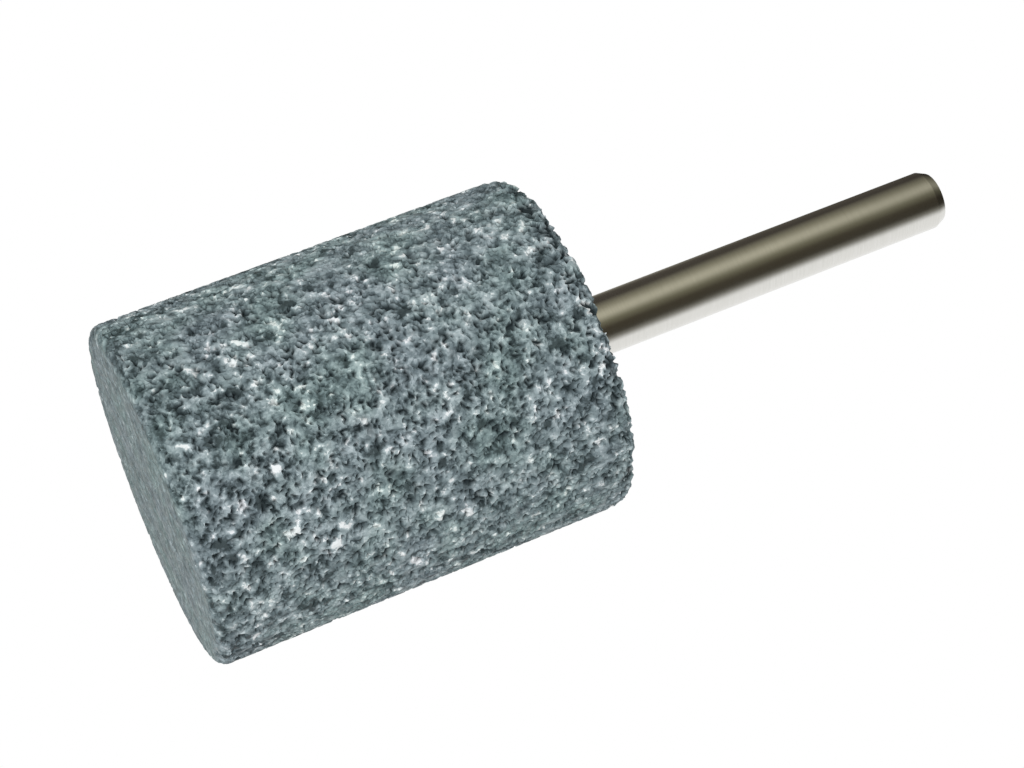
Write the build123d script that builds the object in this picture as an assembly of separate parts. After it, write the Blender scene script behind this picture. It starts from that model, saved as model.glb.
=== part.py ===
"""Mounted point: a cylindrical vitrified abrasive head cemented onto a ground steel shank.

The point stands on the flat free end of its head, with the shank pointing up.
The origin is the centre of that flat end, and +Z runs along the axis to the shank's tip.
All sizes are in millimetres.
"""
from build123d import *
import math
import os

# The head: abrasive grain and bond, pressed in a mould and fired as one piece
head_diameter = 34.0
head_length = 42.5
rim_radius = 1.2

# The blind hole that the moulding pin leaves in the head
hole_depth = 25.0
hole_bottom_chamfer = 1.2
hole_mouth_chamfer = 0.5

# The shank: a ground rod, held in a collet at its free end
shank_diameter = 6.0
shank_free_length = 42.5
tip_chamfer_length = 0.9
tip_chamfer_depth = 0.4

# The foot of the shank, which the cement grips: turned down a little, so that the knurl
# stays inside the rod's own diameter, with the step just inside the mouth of the bore
foot_step = 0.25
shoulder_below_mouth = 0.3
foot_chamfer = 0.6
knurl_length = 16.0
knurl_pitch = 1.2
knurl_depth = 0.3
knurl_angle = 90.0
notch_depth = 0.45
notch_length = 3.0
notch_spacing = 6.0
first_notch = 3.5

# The cement, poured round the shank and left to set
cement_gap = 1.0
cement_under_foot = 1.0
cement_below_mouth = 0.9
cement_dish = 0.2

shank_radius = shank_diameter / 2
foot_radius = shank_radius - foot_step
hole_radius = foot_radius + cement_gap
hole_bottom = head_length - hole_depth
shank_foot = hole_bottom + cement_under_foot
shank_shoulder = head_length - shoulder_below_mouth
shank_tip = head_length + shank_free_length
cement_level = head_length - cement_below_mouth


def turned(outline):
    """Return the solid that a closed outline in the XZ plane sweeps round the Z axis."""
    return revolve(make_face(Plane.XZ * outline), axis=Axis.Z)


def moulding_pin():
    """The space that the pin leaves: a round bore with a chamfered end, open at the mouth."""
    return turned(Polyline(
        (0, hole_bottom),
        (hole_radius - hole_bottom_chamfer, hole_bottom),
        (hole_radius, hole_bottom + hole_bottom_chamfer),
        (hole_radius, head_length),
        (0, head_length),
        close=True,
    ))


def make_head():
    """The abrasive cylinder, with both rims rounded and the bore sunk in its shank end."""
    body = extrude(Circle(head_diameter / 2), head_length)
    body = fillet(body.edges().filter_by(GeomType.CIRCLE), rim_radius)
    body = body - moulding_pin()
    on_shank_end = body.edges().filter_by(GeomType.CIRCLE).group_by(Axis.Z)[-1]
    mouth = on_shank_end.sort_by(SortBy.RADIUS)[0]
    return chamfer(mouth, hole_mouth_chamfer)


def knurl_grooves():
    """The V grooves of a straight knurl, as cutters set evenly round the foot of the shank."""
    count = round(2 * math.pi * foot_radius / knurl_pitch)
    half_width = knurl_depth * math.tan(math.radians(knurl_angle / 2))
    # The V is drawn past the foot's surface, with the same slope, so that it cuts right through
    groove = make_face(Polyline(
        (foot_radius - knurl_depth, 0),
        (foot_radius + knurl_depth, 2 * half_width),
        (foot_radius + knurl_depth, -2 * half_width),
        close=True,
    ))
    cutter = extrude(groove, knurl_length)
    return [Pos(0, 0, shank_foot) * Rot(0, 0, 360 * step / count) * cutter for step in range(count)]


def notches():
    """The flats ground across the knurl, which stop the shank being pulled out of the cement."""
    past_foot = 2 * foot_radius
    cutter = Pos(foot_radius - notch_depth, 0, 0) * Box(
        past_foot, 2 * past_foot, notch_length, align=(Align.MIN, Align.CENTER, Align.MIN))
    count = 1 + int((knurl_length - first_notch - notch_length) // notch_spacing)
    flats = []
    for step in range(count):
        height = shank_foot + first_notch + notch_spacing * step
        # Two opposite flats at each height, a quarter turn on from the last pair
        for turn in (90 * step, 90 * step + 180):
            flats.append(Pos(0, 0, height) * Rot(0, 0, turn) * cutter)
    return flats


def make_shank():
    """The steel rod: chamfered tip, plain ground length, and a turned-down, knurled, notched foot."""
    rod = turned(Polyline(
        (0, shank_foot),
        (foot_radius - foot_chamfer, shank_foot),
        (foot_radius, shank_foot + foot_chamfer),
        (foot_radius, shank_shoulder - foot_step),
        (shank_radius, shank_shoulder),
        (shank_radius, shank_tip - tip_chamfer_length),
        (shank_radius - tip_chamfer_depth, shank_tip),
        (0, shank_tip),
        close=True,
    ))
    return rod - knurl_grooves() - notches()


def make_cement(shank):
    """The cement: what is left of the bore round the shank, up to its sunken, dished top."""
    outside = 2 * hole_radius
    unfilled = turned(Polyline(
        (0, cement_level),
        (foot_radius, cement_level),
        ((foot_radius + hole_radius) / 2, cement_level - cement_dish),
        (hole_radius, cement_level),
        (outside, cement_level),
        (outside, shank_tip),
        (0, shank_tip),
        close=True,
    ))
    return moulding_pin() - shank - unfilled


shank = make_shank()
parts = {
    "grinding_head": make_head(),
    "shank": shank,
    "cement": make_cement(shank),
}

os.makedirs("parts", exist_ok=True)
for name, shape in parts.items():
    solids = shape.solids()
    print(name, "solids", len(solids), "volume", round(sum(solid.volume for solid in solids), 1), "mm3")
    export_step(shape, f"parts/{name}.step")
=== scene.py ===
# %% [markdown]
# # A mounted point: an abrasive head on a steel shank
#
# The object is a small grinding tool. Its head is a cylinder of coarse abrasive grain, bonded with
# glass in a kiln, and its shank is a plain ground steel rod that is cemented into the head. It stands
# here on the flat free end of the head, with the shank pointing up.
#
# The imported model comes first, as a fixed frame. Its sizes are right, but its head is as smooth as
# turned metal. The lesson is how to give that head its grain as real geometry, and how to light a
# plain steel rod so that it reads as steel.

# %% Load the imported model
import math

import bpy
import numpy as np
from mathutils import Matrix, Vector
from mathutils.geometry import delaunay_2d_cdt


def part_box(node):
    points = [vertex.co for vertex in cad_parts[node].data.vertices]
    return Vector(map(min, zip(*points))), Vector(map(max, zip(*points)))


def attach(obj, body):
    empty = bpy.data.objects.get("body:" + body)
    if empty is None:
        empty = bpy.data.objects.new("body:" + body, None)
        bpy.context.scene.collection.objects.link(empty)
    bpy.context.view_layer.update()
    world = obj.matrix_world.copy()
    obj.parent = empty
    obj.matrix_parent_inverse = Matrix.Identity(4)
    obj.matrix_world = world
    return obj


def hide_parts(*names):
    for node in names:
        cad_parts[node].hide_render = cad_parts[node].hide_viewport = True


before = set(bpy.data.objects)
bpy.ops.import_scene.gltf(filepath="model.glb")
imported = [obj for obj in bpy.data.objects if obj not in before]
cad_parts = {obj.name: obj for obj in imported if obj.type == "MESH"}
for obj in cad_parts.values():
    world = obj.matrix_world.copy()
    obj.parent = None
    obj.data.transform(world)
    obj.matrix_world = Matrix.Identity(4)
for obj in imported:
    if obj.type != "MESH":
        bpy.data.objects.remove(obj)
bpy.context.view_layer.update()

print("nodes:", sorted(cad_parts))

# %% [markdown]
# ## Sizes
#
# Blender works in metres. A maker thinks in millimetres, so every size below is in millimetres, and
# it is turned to metres only where a mesh, a lamp or a pattern is made with it. The main sizes are
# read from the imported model. The rim and the bore repeat the model's own values.

# %% Sizes in millimetres
MM = 0.001

# The upper corner of each node's box
head_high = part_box("grinding_head")[1]
shank_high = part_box("shank")[1]
cement_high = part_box("cement")[1]

head_radius = head_high.x / MM
head_length = head_high.z / MM
shank_radius = shank_high.x / MM
shank_tip = shank_high.z / MM
cement_level = cement_high.z / MM

rim_radius = 1.2
bore_radius = 3.75
bore_mouth_chamfer = 0.5
bore_bottom = 17.5
bore_bottom_chamfer = 1.2

print("head", round(2 * head_radius, 2), "x", round(head_length, 2), "mm")
print("shank", round(2 * shank_radius, 2), "mm, tip at", round(shank_tip, 2), "mm")

# %% [markdown]
# ## Camera
#
# In the photograph the tool lies at a slant, with the shank rising to the right and leaning a little
# away. The tool could be laid down to match, but then it would roll. It is the camera that is turned
# instead: it is rolled until the shank rises by the right angle, and set below the level of the free
# end, because the photograph shows a thin slice of that end. The lens is that of a short telephoto.

# %% Camera
shank_rise = math.radians(21.24)
lean_away = math.radians(14.76)
image_width = 1024
focal_pixels = 2399
sensor_width = 36.0
nearest_seen = 10
# Where the middle of the free end lies, seen from the camera: right, down and forward
free_end_from_camera = (-33.66, 10.71, 223.99)

shank_axis = Vector((0, -math.sin(lean_away), math.cos(lean_away)))
sideways = Vector((1, 0, 0))
to_camera = Vector((0, -math.cos(lean_away), -math.sin(lean_away)))
picture_right = math.cos(shank_rise) * shank_axis + math.sin(shank_rise) * sideways
picture_up = math.sin(shank_rise) * shank_axis - math.cos(shank_rise) * sideways

right, down, forward = free_end_from_camera
camera_place = to_camera * forward + picture_up * down - picture_right * right

camera_data = bpy.data.cameras.new("studio_camera")
camera_data.sensor_width = sensor_width
camera_data.lens = sensor_width * focal_pixels / image_width
camera_data.clip_start = nearest_seen * MM
camera = bpy.data.objects.new("studio_camera", camera_data)
turned = Matrix((picture_right, picture_up, to_camera)).transposed().to_4x4()
camera.matrix_world = Matrix.Translation(camera_place * MM) @ turned
bpy.context.scene.collection.objects.link(camera)
bpy.context.scene.camera = camera
bpy.context.scene.view_settings.view_transform = "Standard"
print("lens", round(camera_data.lens, 2), "mm, camera at", [round(x) for x in camera_place], "mm")

# %% [markdown]
# ## Three small helpers
#
# Every material and the world are made of nodes. One helper adds a node with its settings and its
# links, and one turns a colour as it is written on a screen into the linear light that Blender uses.
# The third lays out such colours as a ramp.

# %% Helpers for nodes and colours
def node(tree, kind, inputs=(), **settings):
    """Add a node. The inputs go by name or number, to a value or to another node's output."""
    new = tree.nodes.new(kind)
    for name, value in settings.items():
        setattr(new, name, value)
    for socket, value in dict(inputs).items():
        if isinstance(value, bpy.types.NodeSocket):
            tree.links.new(value, new.inputs[socket])
        else:
            new.inputs[socket].default_value = value
    return new


def linear(colour):
    """A colour such as "#72807f", as linear red, green, blue and an alpha of 1."""
    levels = [int(colour[start:start + 2], 16) / 255 for start in (1, 3, 5)]
    return [x / 12.92 if x <= 0.04045 else ((x + 0.055) / 1.055) ** 2.4 for x in levels] + [1.0]


def ramp(tree, amount, stops):
    """A colour ramp that the amount runs along. Each stop is a position and a colour."""
    new = node(tree, "ShaderNodeValToRGB", {"Fac": amount})
    marks = new.color_ramp.elements
    marks[0].position, marks[0].color = stops[0][0], linear(stops[0][1])
    marks[1].position, marks[1].color = stops[-1][0], linear(stops[-1][1])
    for position, colour in stops[1:-1]:
        marks.new(position).color = linear(colour)
    return new.outputs["Color"]


print("linear mid grey:", [round(x, 3) for x in linear("#808080")])

# %% [markdown]
# ## The studio that the steel mirrors
#
# A ground steel rod has almost no colour of its own. What reads as steel is the room in it: a white
# table on one side, a dark gap, a tan card, another gap. Cards on stands could be modelled, but a
# rod mirrors only a ring of the room, so the world itself carries them, as bands. Mirror rays see the
# bands, as rays through glass would. The camera sees plain white, and the soft light is even.
#
# A mirror faces halfway between the way to the eye and the way to what it shows. The bands are laid
# out by that halfway angle, so the chamfer at the shank's tip carries on the bands of the rod. The
# angle is doubled to give degrees round the tool. Zero is towards the camera, 90 is the lower side of
# the picture, and -90 is its upper side.

# %% World
world = bpy.data.worlds.new("studio")
bpy.context.scene.world = world
world.use_nodes = True
sky = world.node_tree
sky.nodes.clear()

direction = node(sky, "ShaderNodeTexCoord").outputs["Generated"]
ray = node(sky, "ShaderNodeSeparateXYZ", {0: direction})
# The eye looks along Y, so the way to it is (0, -1, 0), shortened by the shank's lean
toward = node(sky, "ShaderNodeMath", {
    0: ray.outputs["Y"], 1: -1.0, 2: math.cos(lean_away)}, operation="MULTIPLY_ADD")
halfway = node(sky, "ShaderNodeMath", {0: ray.outputs["X"], 1: toward.outputs[0]}, operation="ARCTAN2")
# The cards lean a little: low down, where the foot of the free length mirrors them, they stand
# further round, by this many degrees. A height in the room is the upward part of a ray's
# direction, which is 0 for a level ray and 1 for one that goes straight up
cards_lean = 12
lean_low, lean_high = 0.325, 0.385
lean = node(sky, "ShaderNodeMapRange", {
    "Value": ray.outputs["Z"], "From Min": lean_low, "From Max": lean_high,
    "To Min": math.radians(-cards_lean / 2), "To Max": 0.0})
leaned = node(sky, "ShaderNodeMath", {0: halfway.outputs[0], 1: lean.outputs[0]}, operation="ADD")
compass = node(sky, "ShaderNodeMapRange", {
    "Value": leaned.outputs[0], "From Min": -math.pi / 2, "From Max": math.pi / 2})

# Degrees round the tool, and the colour of the room there: gap, tan card, gap, white table
room = [
    (-180, "#c8c5bd"), (-160, "#7a766c"), (-140, "#514c44"), (-106, "#45403a"), (-74, "#908c79"),
    (-52, "#bfbba7"), (-40, "#c1bda9"), (-18, "#787561"), (6, "#453f33"), (35, "#413d33"),
    (51, "#84827a"), (72, "#fbfbfb"), (160, "#ffffff"), (180, "#c8c5bd"),
]
cards = ramp(sky, compass.outputs[0], [((angle + 180) / 360, colour) for angle, colour in room])
# The tan card grows dim towards its top, which shades the tip and its chamfer. The table doesn't.
# In degrees round the tool, one ends and the other begins here
card_until, table_from = 25, 60
dim_low, dim_high = 0.41, 0.475
most_dimmed = 0.5
card_side = node(sky, "ShaderNodeMapRange", {
    "Value": leaned.outputs[0], "From Min": math.radians(card_until / 2),
    "From Max": math.radians(table_from / 2), "To Min": most_dimmed, "To Max": 0.0})
high_up = node(sky, "ShaderNodeMapRange", {
    "Value": ray.outputs["Z"], "From Min": dim_low, "From Max": dim_high})
dimmed = node(sky, "ShaderNodeMath", {
    0: card_side.outputs[0], 1: high_up.outputs[0]}, operation="MULTIPLY")
strength = node(sky, "ShaderNodeMath", {0: 1.0, 1: dimmed.outputs[0]}, operation="SUBTRACT")
mirrored = node(sky, "ShaderNodeBackground", {"Color": cards, "Strength": strength.outputs[0]})

soft_light = 0.37
soft = node(sky, "ShaderNodeBackground", {"Color": linear("#ffffff"), "Strength": soft_light})
white = node(sky, "ShaderNodeBackground", {"Color": linear("#ffffff"), "Strength": 1.0})

path = node(sky, "ShaderNodeLightPath")
mirror_or_glass = node(sky, "ShaderNodeMath", {
    0: path.outputs["Is Glossy Ray"], 1: path.outputs["Is Transmission Ray"]}, operation="MAXIMUM")
lit = node(sky, "ShaderNodeMixShader", {
    0: mirror_or_glass.outputs[0], 1: soft.outputs[0], 2: mirrored.outputs[0]})
seen = node(sky, "ShaderNodeMixShader", {
    0: path.outputs["Is Camera Ray"], 1: lit.outputs[0], 2: white.outputs[0]})
node(sky, "ShaderNodeOutputWorld", {"Surface": seen.outputs[0]})
print("room bands:", len(room), "soft light", soft_light)

# %% [markdown]
# ## Lamps
#
# Even light alone would leave the grain flat. A large soft lamp beside the camera, a little to its
# left, gives each grain a lit side and a shaded side, and lets the upper and the lower edge of the
# head fall off. A second one lights the far side and the shank end of the tool, which this camera
# doesn't see, so that they don't go dark when the tool is looked at from behind. Both stay out of
# mirror rays, because the bands do that work.

# %% Lamps
def soft_lamp(name, along_right, along_up, along_back, distance, size, share):
    """A square lamp aimed at the head, off in the direction that the three amounts along give.

    The share is how bright it makes a white card at the head, where 1 is white.
    """
    aim = Vector((0, 0, head_length / 2))
    way = (picture_right * along_right + picture_up * along_up + to_camera * along_back).normalized()
    lamp_data = bpy.data.lights.new(name, "AREA")
    lamp_data.size = size * MM
    lamp_data.energy = share * math.pi ** 2 * (distance * MM) ** 2
    lamp = bpy.data.objects.new(name, lamp_data)
    turned_to_head = way.to_track_quat("Z", "Y").to_matrix().to_4x4()
    lamp.matrix_world = Matrix.Translation((aim + way * distance) * MM) @ turned_to_head
    lamp.visible_camera = False
    lamp.visible_glossy = False
    bpy.context.scene.collection.objects.link(lamp)
    print(name, round(lamp_data.energy, 2), "W")


soft_lamp("key_lamp", along_right=-0.1, along_up=0.0, along_back=0.95,
          distance=500, size=160, share=0.77)
soft_lamp("far_side_lamp", along_right=0.8, along_up=0.3, along_back=-1.0,
          distance=500, size=300, share=0.8)

# %% [markdown]
# ## Floor
#
# The floor lies just under the free end. It is pale and matt, and it is seen only from above, as if
# it were glass from below: this camera looks up from under its level and sees the white studio
# through it. The rays that light the tool pass it too, so that the free end isn't in the dark.
#
# Lamps that stand level with the tool only graze a floor, so it would look grey, with a hard edge
# against the white studio. It is half clear to the camera for that reason, which leaves a pale floor
# with the tool's shadow on it, and it fades out with the distance, as a photographer's cove does.

# %% Floor
floor_half = 900
floor_height = -0.02
cover_at_tool = 0.55
fade_from, fade_to = 60, 400

floor_corners = [(-1, -1), (1, -1), (1, 1), (-1, 1)]
floor_mesh = bpy.data.meshes.new("floor")
floor_mesh.from_pydata(
    [(x * floor_half * MM, y * floor_half * MM, floor_height * MM) for x, y in floor_corners],
    [], [(0, 1, 2, 3)])
floor = bpy.data.objects.new("floor", floor_mesh)
bpy.context.scene.collection.objects.link(floor)

matt_paint = bpy.data.materials.new("matt_white_table_paint")
matt_paint.use_nodes = True
tree = matt_paint.node_tree
tree.nodes.clear()
paint = node(tree, "ShaderNodeBsdfDiffuse", {"Color": linear("#f4f4f2")})
clear = node(tree, "ShaderNodeBsdfTransparent")
path = node(tree, "ShaderNodeLightPath")
side = node(tree, "ShaderNodeNewGeometry")
from_above = node(tree, "ShaderNodeMath", {
    0: 1.0, 1: side.outputs["Backfacing"]}, operation="SUBTRACT")
from_centre = node(tree, "ShaderNodeVectorMath", {
    0: node(tree, "ShaderNodeTexCoord").outputs["Object"]}, operation="LENGTH")
cover = node(tree, "ShaderNodeMapRange", {
    "Value": from_centre.outputs["Value"], "From Min": fade_from * MM, "From Max": fade_to * MM,
    "To Min": cover_at_tool, "To Max": 0.0}, interpolation_type="SMOOTHSTEP")
to_camera_ray = node(tree, "ShaderNodeMath", {
    0: path.outputs["Is Camera Ray"], 1: from_above.outputs[0]}, operation="MULTIPLY")
shown = node(tree, "ShaderNodeMath", {
    0: to_camera_ray.outputs[0], 1: cover.outputs[0]}, operation="MULTIPLY")
mixed = node(tree, "ShaderNodeMixShader", {
    0: shown.outputs[0], 1: clear.outputs[0], 2: paint.outputs[0]})
node(tree, "ShaderNodeOutputMaterial", {"Surface": mixed.outputs[0]})
floor_mesh.materials.append(matt_paint)
print("floor", 2 * floor_half, "mm wide")

# %% [markdown]
# ## The head as one sheet
#
# Seen closely, the head is thousands of grains packed side by side, with pits between them. A bump
# map could fake that, but the edge of the head would stay as straight as glass and the pits would
# have no depth. So each grain is a small faceted block in one closed mesh.
#
# To place grains evenly over the ends, the rims and the side, the whole surface is treated as one
# sheet that starts in the middle of the free end, runs out over the rim, along the side, over the
# other rim and in to the bore. A point on the sheet has two numbers: how far along it lies, and its
# angle round the axis.

# %% The outline of the head, walked from the free end to the bore
def arc(centre_radius, centre_height, from_degrees, to_degrees, steps=24):
    """Points of a rim, as radius and height."""
    angles = np.radians(np.linspace(from_degrees, to_degrees, steps))
    radii = centre_radius + rim_radius * np.cos(angles)
    heights = centre_height + rim_radius * np.sin(angles)
    return list(zip(radii, heights))


flat_radius = head_radius - rim_radius
mouth_radius = bore_radius + bore_mouth_chamfer
grain_below_cement = 0.3
grain_ends_at = cement_level - grain_below_cement

outline = [(0.0, 0.0)]
outline += arc(flat_radius, rim_radius, -90, 0)
outline += arc(flat_radius, head_length - rim_radius, 0, 90)
outline += [(mouth_radius, head_length), (bore_radius, head_length - bore_mouth_chamfer)]
outline += [(bore_radius, grain_ends_at)]
outline = np.array(outline)
step_lengths = np.hypot(*np.diff(outline, axis=0).T)
walked = np.concatenate([[0], np.cumsum(step_lengths)])
sheet_length = walked[-1]

rim_arc = rim_radius * math.pi / 2
side_length = head_length - 2 * rim_radius
free_rim = flat_radius
side_start = free_rim + rim_arc
side_end = side_start + side_length
shank_rim = side_end + rim_arc
mouth = shank_rim + flat_radius - mouth_radius


def on_sheet(along):
    """Radius and height of a point so far along the sheet."""
    return np.interp(along, walked, outline[:, 0]), np.interp(along, walked, outline[:, 1])


def facing(along, reach=0.3):
    """The outward direction there, as its radial and its upright part, evened out over the reach."""
    ahead, behind = on_sheet(along + reach), on_sheet(along - reach)
    run, rise = ahead[0] - behind[0], ahead[1] - behind[1]
    # Before the start, the sheet would run on to the far side of the axis
    run = np.where(along < reach, 2 * reach, run)
    length = np.hypot(run, rise)
    return rise / length, -run / length


print("sheet", round(sheet_length, 1), "mm long, in", len(outline), "steps")

# %% [markdown]
# ## Scattering the grains
#
# The grit here is coarse, about number 24, so a whole grain is 0.6 to 0.9 mm across, and there are
# chips of half that size between. The surface is built from small cells, and a grain is one cell or
# a few of them. The middles of the cells are dropped one after another at random places, the big
# ones first, and each is kept only if it isn't too near to one that already lies there. The same
# happens in the mould, where the chips end up between the grains.

# %% Scatter
seed = 24
dice = np.random.default_rng(seed)
cell_spacings = [0.44, 0.385, 0.335, 0.295, 0.27]
tries = [9000, 21000, 60000, 130000, 220000]
clear_of_last_ring = 0.3

# Places are drawn evenly over the area, so the area is added up along the sheet first
grainy_length = sheet_length - clear_of_last_ring
fine = np.linspace(0.0, grainy_length, 6000)
fine_radius = on_sheet(fine)[0]
strips = np.diff(fine) * (fine_radius[1:] + fine_radius[:-1]) * math.pi
area_so_far = np.concatenate([[0], np.cumsum(strips)])
sheet_area = area_so_far[-1]


def in_space(along, angle):
    """The place on the smooth surface, in millimetres."""
    radius, height = on_sheet(along)
    return np.stack([radius * np.cos(angle), radius * np.sin(angle), height], -1)


box_size = max(cell_spacings)
boxes = {}
around = [(x, y, z) for x in (-1, 0, 1) for y in (-1, 0, 1) for z in (-1, 0, 1)]


def has_room(place, home, spacing):
    """True if nothing that already lies there is too near."""
    x, y, z = place
    for step in around:
        for other in boxes.get((home[0] + step[0], home[1] + step[1], home[2] + step[2]), ()):
            least = (spacing + other[3]) / 2
            if (x - other[0]) ** 2 + (y - other[1]) ** 2 + (z - other[2]) ** 2 < least * least:
                return False
    return True


kept = []
for spacing, count in zip(cell_spacings, tries):
    along = np.interp(dice.uniform(0, sheet_area, count), area_so_far, fine)
    angle = dice.uniform(-math.pi, math.pi, count)
    places = in_space(along, angle)
    homes = np.floor(places / box_size).astype(int)
    for place, home, a, b in zip(places.tolist(), homes.tolist(), along, angle):
        if has_room(place, home, spacing):
            boxes.setdefault(tuple(home), []).append((*place, spacing))
            kept.append((a, b))

cell_along, cell_angle = np.array(kept).T
cell_count = len(kept)
mean_spacing = math.sqrt(sheet_area / cell_count * 2 / math.sqrt(3))
print(cell_count, "cells, mean spacing", round(mean_spacing, 3), "mm")

# %% [markdown]
# ## Which cell is next to which
#
# Each cell touches its nearest neighbours. A Delaunay triangulation finds them, and Blender has one
# for flat drawings. The sheet has to be laid flat for it without spoiling the shapes, and a map that
# only scales, as a chart of the world does, can do that: the further along the sheet, the larger the
# circle that it lands on. The middle of the free end is the middle of that drawing.
#
# The last ring of points, a little below the cement, is where the grain ends. From there a plain bore
# runs on to its bottom, out of sight.

# %% Neighbours
bore_sides = 72
bore_angles = np.linspace(-math.pi, math.pi, bore_sides, endpoint=False)
site_along = np.concatenate([cell_along, np.full(bore_sides, sheet_length)])
site_angle = np.concatenate([cell_angle, bore_angles])
site_place = in_space(site_along, site_angle)
site_count = len(site_along)

# On the flat end the drawing is at full size. Past it, it grows by the step over the radius
steps = np.linspace(flat_radius, sheet_length, 20000)
step_radius = on_sheet((steps[1:] + steps[:-1]) / 2)[0]
growth = np.concatenate([[0], np.cumsum(np.diff(steps) / step_radius)])
drawn_radius = np.where(
    site_along < flat_radius, site_along, flat_radius * np.exp(np.interp(site_along, steps, growth)))
drawn_x, drawn_y = drawn_radius * np.cos(site_angle), drawn_radius * np.sin(site_angle)
drawing = [Vector(pair) for pair in zip(drawn_x, drawn_y)]
least_apart = 1e-6
# It gives back points, edges and faces, and then which of our points each of its points came from
found = delaunay_2d_cdt(drawing, [], [], 0, least_apart)
first_use = [ids[0] for ids in found[3]]
triangles = np.array([[first_use[corner] for corner in face] for face in found[2]])
print(len(found[0]), "points of", site_count, "in", len(triangles), "triangles")

# %% [markdown]
# ## Cells into grains
#
# Cells of one size would look like cobblestones. So each cell draws a number, and two in five of them
# join the neighbour that drew the highest. The others stay by themselves as chips. That gives crooked
# grains of two to five cells among the chips, no two of them alike.

# %% Grains
chip_share = 0.6
rank = dice.permutation(site_count)
highest_near = rank.copy()
for first, second in ((0, 1), (1, 2), (2, 0)):
    np.maximum.at(highest_near, triangles[:, first], rank[triangles[:, second]])
is_chip = dice.uniform(0, 1, site_count) < chip_share
grain = np.where(is_chip, np.arange(site_count), np.argsort(rank)[highest_near])
print(len(np.unique(grain)), "grains and chips")

# %% [markdown]
# ## The shape of a grain
#
# Each triangle of neighbours gives one junction, the place where three cells meet. The mesh has a
# point in the middle of each cell and one at each junction, so a cell is a fan of about six facets.
# The cells of one grain share a tilted plane, as the face of a broken crystal does. Where grains
# meet, the junction lies on the highest of them, which makes a sharp step, or midway, where the
# glass bond bridges them, or deeper than all, as an open pit.
#
# The head is moulded and then trued, so nothing stands out past the full radius. Some grains sit
# lower, and where one has broken out there is a pore. The free end is dressed and almost closed, and
# the rim at the shank end is the roughest place.

# %% Relief
# How far along the sheet, and how rough it is there
relief_steps = [
    (0, 0.25), (free_rim - 0.3, 0.3), (free_rim + 0.6, 0.75), (side_start + 0.5, 1.0),
    (side_end - 1, 1.0), (side_end, 1.7), (shank_rim, 1.7), (shank_rim + 1, 1.1),
    (mouth - 1, 1.1), (mouth + 0.6, 0.3), (sheet_length, 0.0),
]
least_depth, most_depth = 0.02, 0.6

# Of the grains, most lie near the surface and some lower. The rest have broken out
tilt_spread = 0.3
near_share = 0.7
near_or_lower_share = 0.93
near_depths, lower_depths, broken_depths = (0.04, 0.14), (0.14, 0.26), (0.3, 0.5)

# Of the junctions, some are open pits and some are bridged by bond. The rest are sharp steps
pit_share = 0.3
pit_or_bridged_share = 0.7
pit_depths = (0.1, 0.32)
junction_wander = 0.04


def relief(along):
    """How rough the sheet is there, where 1 is the side of the head."""
    return np.interp(along, *zip(*relief_steps))


def sheet_frame(along, angle):
    """Three directions on the sheet: outward, round the axis, and onward along the sheet."""
    radial, upright = facing(along)
    cosine, sine = np.cos(angle), np.sin(angle)
    outward = np.stack([radial * cosine, radial * sine, upright], -1)
    round_axis = np.stack([-sine, cosine, np.zeros_like(angle)], -1)
    onward = np.stack([-upright * cosine, -upright * sine, radial], -1)
    return outward, round_axis, onward


def dot(a, b):
    """The dot product of each pair of arrows."""
    return (a * b).sum(-1)


# Each grain's own throw of the dice: how far it tilts, and how deep it sits
roughness_here = relief(site_along)
outward, round_axis, onward = sheet_frame(site_along, site_angle)
tilt_round, tilt_onward = dice.normal(0, tilt_spread, (2, site_count)) * roughness_here
slope = tilt_round[:, None] * round_axis + tilt_onward[:, None] * onward
chance = dice.uniform(0, 1, site_count)
level = np.select(
    [chance < near_share, chance < near_or_lower_share],
    [dice.uniform(*near_depths, site_count), dice.uniform(*lower_depths, site_count)],
    dice.uniform(*broken_depths, site_count)) * roughness_here


def plane_depth(places, owners):
    """How deep the tilted plane of the owner's grain lies under the sheet at these places."""
    away = places - site_place[owners]
    return level[owners] - dot(away, slope[owners]) + dot(away, outward[owners])


site_depth = plane_depth(site_place, grain) - dice.uniform(-0.02, 0.08, site_count) * roughness_here

# Junctions: the middle of each triangle, brought back to the sheet and moved a little at random
middle = site_place[triangles].mean(1)
middle_radius = np.hypot(middle[:, 0], middle[:, 1])
junction_along = site_along[triangles].mean(1)
junction_along = np.where(junction_along < flat_radius - 1, middle_radius, junction_along)
junction_angle = np.arctan2(middle[:, 1], middle[:, 0])
inside = (triangles < cell_count).all(1)
wander = dice.normal(0, junction_wander, len(triangles)) * inside * (junction_along > 1)
junction_along = junction_along + wander
junction_place = in_space(junction_along, junction_angle)

grains_there = grain[triangles]
depths_there = plane_depth(junction_place[:, None], grains_there)
pit = dice.uniform(*pit_depths, len(triangles)) * relief(junction_along)
meeting = dice.uniform(0, 1, len(triangles))
in_one_grain = (grains_there == grains_there[:, :1]).all(1)
junction_depth = np.select(
    [in_one_grain, meeting < pit_share, meeting < pit_or_bridged_share],
    [depths_there[:, 0], depths_there.max(1) + pit, depths_there.mean(1)],
    depths_there.min(1))

# Pieces are broken out of the rim at the shank end, as shallow dents of two or three grains across
dent_count = 75
dent_along = dice.uniform(side_end - 0.2, shank_rim + 0.4, dent_count)
dent_places = in_space(dent_along, dice.uniform(-math.pi, math.pi, dent_count))
dent_sizes = dice.uniform(0.6, 1.2, dent_count)
dent_depths = dice.uniform(0.1, 0.5, dent_count)


def broken_out(places):
    """How much is missing from the rim at these places."""
    missing = np.zeros(len(places))
    for place, size, deep in zip(dent_places, dent_sizes, dent_depths):
        share = 1 - ((places - place) ** 2).sum(-1) / size ** 2
        missing = np.maximum(missing, deep * share)
    return missing


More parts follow.
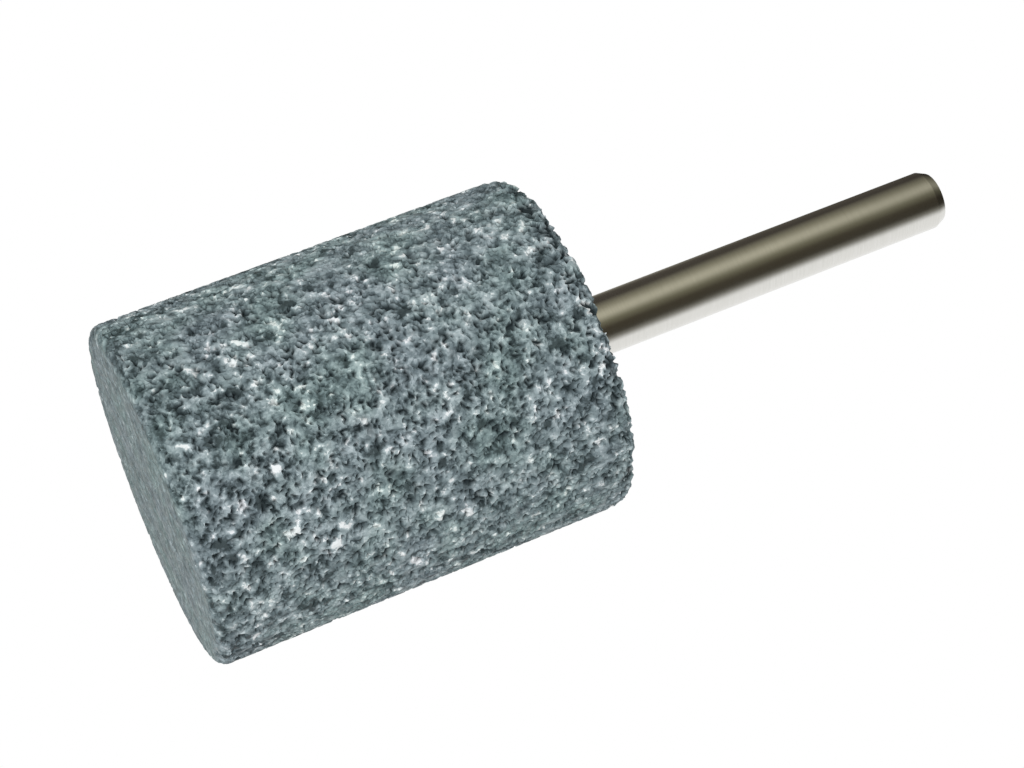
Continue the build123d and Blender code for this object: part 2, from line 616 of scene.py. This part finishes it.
# Nothing past the full radius, no pit right through the rim, and plain points on the bore
site_depth = np.clip(site_depth, least_depth, most_depth) + broken_out(site_place)
site_depth = site_depth * (np.arange(site_count) < cell_count)
junction_depth = np.clip(junction_depth, least_depth, most_depth) + broken_out(junction_place)
junction_depth = junction_depth * inside
site_points = site_place - outward * site_depth[:, None]
junction_out = sheet_frame(junction_along, junction_angle)[0]
junction_points = junction_place - junction_out * junction_depth[:, None]
print("mean depth", round(float(site_depth.mean()), 3), "mm")
print("deepest pit", round(float(junction_depth.max()), 2), "mm")

# %% [markdown]
# ## Joining it all into one closed mesh
#
# Each pair of neighbours gives two facets, one on each cell, between the junctions to the left and
# to the right of the pair. At the last ring the grain ends, and plain rings of the bore carry on down
# to its bottom, so the mesh has no open edge anywhere.

# %% Faces
first_junction = site_count

# The triangle to the left of the way from one cell to its neighbour
left_of = {}
for number, (a, b, c) in enumerate(triangles.tolist()):
    left_of[a, b] = number
    left_of[b, c] = number
    left_of[c, a] = number

# Each face belongs to a cell. A face of the plain bore belongs to none
no_cell = -1
faces, owner = [], []
for (site, ahead), left in left_of.items():
    right_side = left_of.get((ahead, site))
    if right_side is None:
        faces.append((ahead, site, first_junction + left))
    else:
        faces.append((site, first_junction + left, first_junction + right_side))
    owner.append(site)

# The plain bore: wall, chamfer and bottom
bore_outline = [
    (bore_radius, bore_bottom + bore_bottom_chamfer),
    (bore_radius - bore_bottom_chamfer, bore_bottom),
]
ring_starts = [cell_count] + [
    first_junction + len(triangles) + ring * bore_sides for ring in range(len(bore_outline))]
bore_points = []
for radius, height in bore_outline:
    ring_x, ring_y = radius * np.cos(bore_angles), radius * np.sin(bore_angles)
    bore_points.append(np.stack([ring_x, ring_y, np.full(bore_sides, height)], -1))
for low, high in zip(ring_starts, ring_starts[1:]):
    for step in range(bore_sides):
        after = (step + 1) % bore_sides
        faces.append((low + step, low + after, high + after, high + step))
        owner.append(no_cell)
faces.append(tuple(ring_starts[-1] + step for step in range(bore_sides)))
owner.append(no_cell)
owner = np.array(owner)
is_plain = owner == no_cell

points = np.concatenate([site_points, junction_points] + bore_points)
plain_count = bore_sides * len(bore_outline)
sunk = np.concatenate([site_depth, junction_depth, np.zeros(plain_count)])
head_mesh = bpy.data.meshes.new("abrasive_head")
head_mesh.from_pydata(points * MM, [], faces)
head = bpy.data.objects.new("abrasive_head", head_mesh)
bpy.context.scene.collection.objects.link(head)
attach(head, "root")
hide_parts("grinding_head")

face_sizes = np.array([len(face) for face in faces])
print(len(points), "points,", int((face_sizes - 2).sum()), "triangles")

# %% [markdown]
# ## What each grain knows about itself
#
# The material has to follow the grains, so the mesh carries plain numbers for it. Each face has its
# grain's gloss and a small step of tone of its own, because the facets are broken at different
# angles. Each point has its grain's tone and how deep it lies. A junction takes the mean tone of the
# three cells that meet there, so that the glass bond runs softly from one grain to the next. The bore
# counts as bond, in the middle tone.

# %% Numbers for the material
# A tone of 0 is the darkest grain and 1 the palest. Past 1, it stays pale under a smear
mean_tone, tone_spread = 0.472, 0.28
middle_tone = 0.5
tone = dice.normal(mean_tone, tone_spread, site_count)
# Painted glints: some small grains take a pale tone and some single chips a white one, as painted
# highlights of facets that catch the light. There are more of them towards the free end, where the
# light catches more facets
pale_glint_share, pale_glint_tone = 0.08, 1.05
white_glint_share, white_glint_tone = 0.025, 1.35
luck = dice.uniform(0, 1, site_count)
cells_in = np.bincount(grain, minlength=site_count)
glints_towards_free_end = np.interp(site_along, [side_start + 8, side_start + 24], [1.0, 0.4])
tone = np.where((luck > 1 - pale_glint_share * glints_towards_free_end) & (cells_in < 3), pale_glint_tone, tone)
white_glint_chip = (luck > 1 - white_glint_share * glints_towards_free_end) & (cells_in == 1)
tone = np.where(white_glint_chip, white_glint_tone, tone)
# On the dressed free end the grains were cut level and rubbed to one tone, a little paler
rubbed_pale = 0.08
calm = np.interp(site_along, [free_rim - 0.3, free_rim + 0.8], [0.4, 1.0])
tone = middle_tone + (tone - middle_tone) * calm + rubbed_pale * (1 - calm)
# Painted shade: the tone is made darker near the free end, standing in for light that falls off there.
# How far along the sheet, and how much darker it is there
free_end_painted_shade_steps = [
    (free_rim - 0.3, 0), (free_rim + 0.8, 0.17), (side_start, 0.17),
    (side_start + 3, 0.05), (side_start + 7, 0.05), (side_start + 20, 0),
]
tone = tone - np.interp(site_along, *zip(*free_end_painted_shade_steps))
# All the cells of one grain take the tone and the gloss of the cell that it grew from
tone = tone[grain]
gloss = dice.uniform(0, 1, site_count)[grain]
facet_spread = 0.1
facet_step = dice.normal(0, facet_spread, len(faces))


def give(name, domain, values):
    """Store one number for each face or each point."""
    numbers = head_mesh.attributes.new(name, "FLOAT", domain).data
    numbers.foreach_set("value", np.asarray(values, np.float32))


in_bore = np.full(plain_count, middle_tone)
give("tone", "POINT", np.concatenate([tone, tone[triangles].mean(1), in_bore]))
give("sunk", "POINT", sunk)
give("facet_step", "FACE", np.where(is_plain, 0.0, facet_step * calm[owner]))
give("gloss", "FACE", np.where(is_plain, 0.5, gloss[owner]))
# The white chips are painted highlights
print("white chips:", int(white_glint_chip.sum()))

# %% [markdown]
# ## A map of the head
#
# The finish may be painted onto a flat picture of the surface later, when the part is used elsewhere.
# The mesh brings its own map for that: the side as two strips, the two ends as discs, and the bore as
# a small patch. All but the bore, which isn't seen, are at the same scale.

# %% Flat map
map_side = 93.0
margin = 1.5
strip_gap = 2.5
disc_gap = 2.0
disc_margin = 0.5
# The patch of the bore: its width for one radian, its slant, its height for each mm, and its place
bore_width, bore_slant, bore_height, bore_gap = 2.2, 0.4, 5, 3

half_turn = math.pi * head_radius
strip_start, strip_end = free_rim + rim_arc / 2, side_end + rim_arc / 2
strip_height = strip_end - strip_start
disc_radius = strip_start + 1.0

site_chart = np.select(
    [site_along < strip_start, site_along > strip_end, site_angle < 0], [2, 3, 0], 1)
# The plain rings of the bore count on from the end of the sheet
hidden_along = np.repeat([sheet_length + 1.0, sheet_length + 2.0], bore_sides)
point_along = np.concatenate([site_along, junction_along, hidden_along])
point_angle = np.arctan2(points[:, 1], points[:, 0])

# A corner's angle is counted on from its own cell's, so that no facet wraps round the map. The
# charts are 0 and 1 for the strips, 2 and 3 for the free and the shank end, and 4 for the bore
loops = np.concatenate([np.array(face) for face in faces])
loop_owner = np.repeat(owner, face_sizes)
loop_is_plain = loop_owner == no_cell
loop_chart = np.where(loop_is_plain, 4, site_chart[loop_owner])
middle_angle = np.where(loop_is_plain, point_angle[loops], site_angle[loop_owner])
turned_by = point_angle[loops] - middle_angle
loop_angle = middle_angle + (turned_by + math.pi) % (2 * math.pi) - math.pi
loop_along = point_along[loops]
x, y = points[loops, :2].T

is_strip, is_free_end, is_shank_end = loop_chart < 2, loop_chart == 2, loop_chart == 3
first_strip = loop_chart == 0
strip_x = margin + np.where(first_strip, loop_angle + math.pi, loop_angle) * head_radius
strip_y = margin + loop_along - strip_start + np.where(first_strip, 0, strip_height + strip_gap)
disc_x = margin + half_turn + disc_gap + disc_radius
from_axis = flat_radius + shank_rim - loop_along
shank_end_x = disc_x + from_axis * np.cos(loop_angle)
shank_end_y = 3 * disc_radius + 2 * disc_margin + from_axis * np.sin(loop_angle)
bore_x = disc_x + bore_width * (point_angle[loops] + bore_slant * (loop_along - sheet_length))
bore_y = 4 * disc_radius + bore_gap + bore_height * (loop_along - sheet_length)

free_end_x = disc_x + x
free_end_y = disc_radius + disc_margin + y
lies_on = [is_strip, is_free_end, is_shank_end]
map_x = np.select(lies_on, [strip_x, free_end_x, shank_end_x], bore_x)
map_y = np.select(lies_on, [strip_y, free_end_y, shank_end_y], bore_y)
flat_map = head_mesh.uv_layers.new(name="OFBake")
flat_map.data.foreach_set("uv", (np.stack([map_x, map_y], -1) / map_side).ravel().astype(np.float32))
print("map from", round(float(map_x.min()), 1), round(float(map_y.min()), 1),
      "to", round(float(map_x.max()), 1), round(float(map_y.max()), 1), "of", map_side)

# %% [markdown]
# ## Vitrified abrasive
#
# The grain is silicon carbide and dark aluminium oxide, held by a glass bond that was fired at about
# 1250 degrees. Broken crystal gives each facet its own grey and its own gloss. The glass skin over it
# is thin and blue-grey, and the pits are painted darker, partly for dust and partly as painted shade.
# That gives the eye a salt-and-pepper surface with no even spot on it. The refractive index is between
# that of glass, 1.5, and that of aluminium oxide, 1.76, but dust and the roughness of the breaks leave
# little of the mirror gloss.
#
# Chips and flow marks inside one grain are about 0.1 mm. They are drawn at 0.3 mm, so that they show.

# %% Abrasive material
abrasive = bpy.data.materials.new("vitrified_abrasive_grain")
abrasive.use_nodes = True
tree = abrasive.node_tree
tree.nodes.clear()

place = node(tree, "ShaderNodeTexCoord").outputs["Object"]
grain_tone = node(tree, "ShaderNodeAttribute", attribute_name="tone").outputs["Fac"]
facet_step = node(tree, "ShaderNodeAttribute", attribute_name="facet_step").outputs["Fac"]
grain_gloss = node(tree, "ShaderNodeAttribute", attribute_name="gloss").outputs["Fac"]
grain_sunk = node(tree, "ShaderNodeAttribute", attribute_name="sunk").outputs["Fac"]

chip_contrast = 0.4
smear_contrast = 0.6
chips = node(tree, "ShaderNodeTexNoise", {
    "Vector": place, "Scale": 1 / (0.3 * MM), "Detail": 3.0, "Roughness": 0.6})
# Bond and dust cover the grains unevenly, in patches of about a grain's size
smears = node(tree, "ShaderNodeTexNoise", {
    "Vector": place, "Scale": 1 / (1.1 * MM), "Detail": 1.0, "Roughness": 0.4})
facet_tone = node(tree, "ShaderNodeMath", {0: grain_tone, 1: facet_step}, operation="ADD")
uneven = node(tree, "ShaderNodeMath", {0: chips.outputs["Fac"], 1: -0.5}, operation="ADD")
smeared = node(tree, "ShaderNodeMath", {0: smears.outputs["Fac"], 1: -0.5}, operation="ADD")
chipped_tone = node(tree, "ShaderNodeMath", {
    0: uneven.outputs[0], 1: chip_contrast, 2: facet_tone.outputs[0]}, operation="MULTIPLY_ADD")
smeared_tone = node(tree, "ShaderNodeMath", {
    0: smeared.outputs[0], 1: smear_contrast, 2: chipped_tone.outputs[0]}, operation="MULTIPLY_ADD")
grey = ramp(tree, smeared_tone.outputs[0], [
    (0.0, "#414c4e"), (0.25, "#677579"), (0.5, "#879699"), (0.75, "#a2b0b3"), (0.93, "#bcc8ca"),
    (1.0, "#e7ecec")])

# The tint drifts over patches of about 6 mm
drift = node(tree, "ShaderNodeTexNoise", {"Vector": place, "Scale": 1 / (6 * MM), "Detail": 2.0})
tint = ramp(tree, drift.outputs["Fac"], [(0.36, "#f9fffb"), (0.5, "#ffffff"), (0.64, "#fefcff")])
# On a colour mix, socket 0 is the share, 6 and 7 are the two colours and output 2 is the result
tinted = node(tree, "ShaderNodeMix", {
    0: 1.0, 6: grey, 7: tint}, data_type="RGBA", blend_type="MULTIPLY")

# Between these depths, in millimetres, the painted shade and the dust in a pit grow from none to all
shade_from, shade_full = 0.15, 0.55
shade = node(tree, "ShaderNodeMapRange", {
    "Value": grain_sunk, "From Min": shade_from, "From Max": shade_full})
# The pits are painted towards a dark grey, partly for dust and partly as painted shade
pit_painted_shade_and_dust = node(tree, "ShaderNodeMix", {
    0: shade.outputs[0], 6: tinted.outputs[2], 7: linear("#2a3336")}, data_type="RGBA")

rough = node(tree, "ShaderNodeMapRange", {"Value": grain_gloss, "To Min": 0.38, "To Max": 0.7})
skin = node(tree, "ShaderNodeBump", {
    "Height": chips.outputs["Fac"], "Strength": 0.5, "Distance": 0.08 * MM})
surface = node(tree, "ShaderNodeBsdfPrincipled", {
    "Base Color": pit_painted_shade_and_dust.outputs[2], "Roughness": rough.outputs[0], "IOR": 1.6,
    "Specular IOR Level": 0.15, "Normal": skin.outputs[0]})
node(tree, "ShaderNodeOutputMaterial", {"Surface": surface.outputs[0]})
head_mesh.materials.append(abrasive)
print("made", abrasive.name)

# %% [markdown]
# ## Ground steel
#
# The shank is a steel rod that was ground between wheels as it turned. The wheel leaves very fine
# lines round the rod, a few thousandths of a millimetre apart, and no two of them are equally deep.
# They blur what the rod mirrors along its length and leave it sharp across. The lines are drawn as
# coarse as 0.12 mm here, so that they show. The bare metal is a pale grey with a trace of warmth. A
# thin film of oil and some handling take the gloss down in patches.

# %% Steel material
steel = bpy.data.materials.new("ground_tool_steel")
steel.use_nodes = True
tree = steel.node_tree
tree.nodes.clear()

place = node(tree, "ShaderNodeTexCoord").outputs["Object"]
stretched = node(tree, "ShaderNodeMapping", {"Vector": place, "Scale": (0.04, 0.04, 1.0)})
lines = node(tree, "ShaderNodeTexNoise", {
    "Vector": stretched.outputs[0], "Scale": 1 / (0.12 * MM), "Detail": 3.0, "Roughness": 0.7})
handling = node(tree, "ShaderNodeTexNoise", {"Vector": place, "Scale": 1 / (5 * MM), "Detail": 3.0})

bare = ramp(tree, lines.outputs["Fac"], [(0.3, "#dbdad5"), (0.5, "#dfded9"), (0.7, "#e2e1dd")])
rubbed = node(tree, "ShaderNodeMapRange", {
    "Value": handling.outputs["Fac"], "From Min": 0.3, "From Max": 0.7, "To Min": 0.15, "To Max": 0.21})
ground = node(tree, "ShaderNodeBump", {
    "Height": lines.outputs["Fac"], "Strength": 0.12, "Distance": 0.004 * MM})
surface = node(tree, "ShaderNodeBsdfPrincipled", {
    "Base Color": bare, "Metallic": 1.0, "Roughness": rubbed.outputs[0], "Normal": ground.outputs[0]})
node(tree, "ShaderNodeOutputMaterial", {"Surface": surface.outputs[0]})

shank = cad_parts["shank"]
shank.material_slots[0].material = steel
print("shank takes", steel.name)

# %% [markdown]
# ## Set cement
#
# The cement shows only as a narrow ring round the shank, just inside the mouth of the bore. It was
# poured as a slurry and set, so it is matt, pale grey and a little mottled, with pinholes of about
# 0.1 mm where air came out. The pinholes are painted dark inside, as painted shade.

# %% Cement material
cement = bpy.data.materials.new("set_magnesia_cement")
cement.use_nodes = True
tree = cement.node_tree
tree.nodes.clear()

place = node(tree, "ShaderNodeTexCoord").outputs["Object"]
mottle = node(tree, "ShaderNodeTexNoise", {"Vector": place, "Scale": 1 / (0.8 * MM), "Detail": 4.0})
pinholes = node(tree, "ShaderNodeTexVoronoi", {"Vector": place, "Scale": 1 / (0.35 * MM)})
hole = node(tree, "ShaderNodeMapRange", {
    "Value": pinholes.outputs["Distance"], "From Min": 0.12, "From Max": 0.25})
pale = ramp(tree, mottle.outputs["Fac"], [(0.3, "#8f8c84"), (0.5, "#a3a098"), (0.7, "#b3b0a8")])
# Each pinhole is painted dark towards its middle, as painted shade in the hole
cement_with_painted_pinhole_shade = node(tree, "ShaderNodeMix", {
    0: hole.outputs[0], 6: linear("#5a5751"), 7: pale}, data_type="RGBA")
cast_skin = node(tree, "ShaderNodeBump", {
    "Height": hole.outputs[0], "Strength": 0.6, "Distance": 0.05 * MM})
surface = node(tree, "ShaderNodeBsdfPrincipled", {
    "Base Color": cement_with_painted_pinhole_shade.outputs[2], "Roughness": 0.85, "Normal": cast_skin.outputs[0]})
node(tree, "ShaderNodeOutputMaterial", {"Surface": surface.outputs[0]})

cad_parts["cement"].material_slots[0].material = cement
print("ring of cement takes", cement.name)
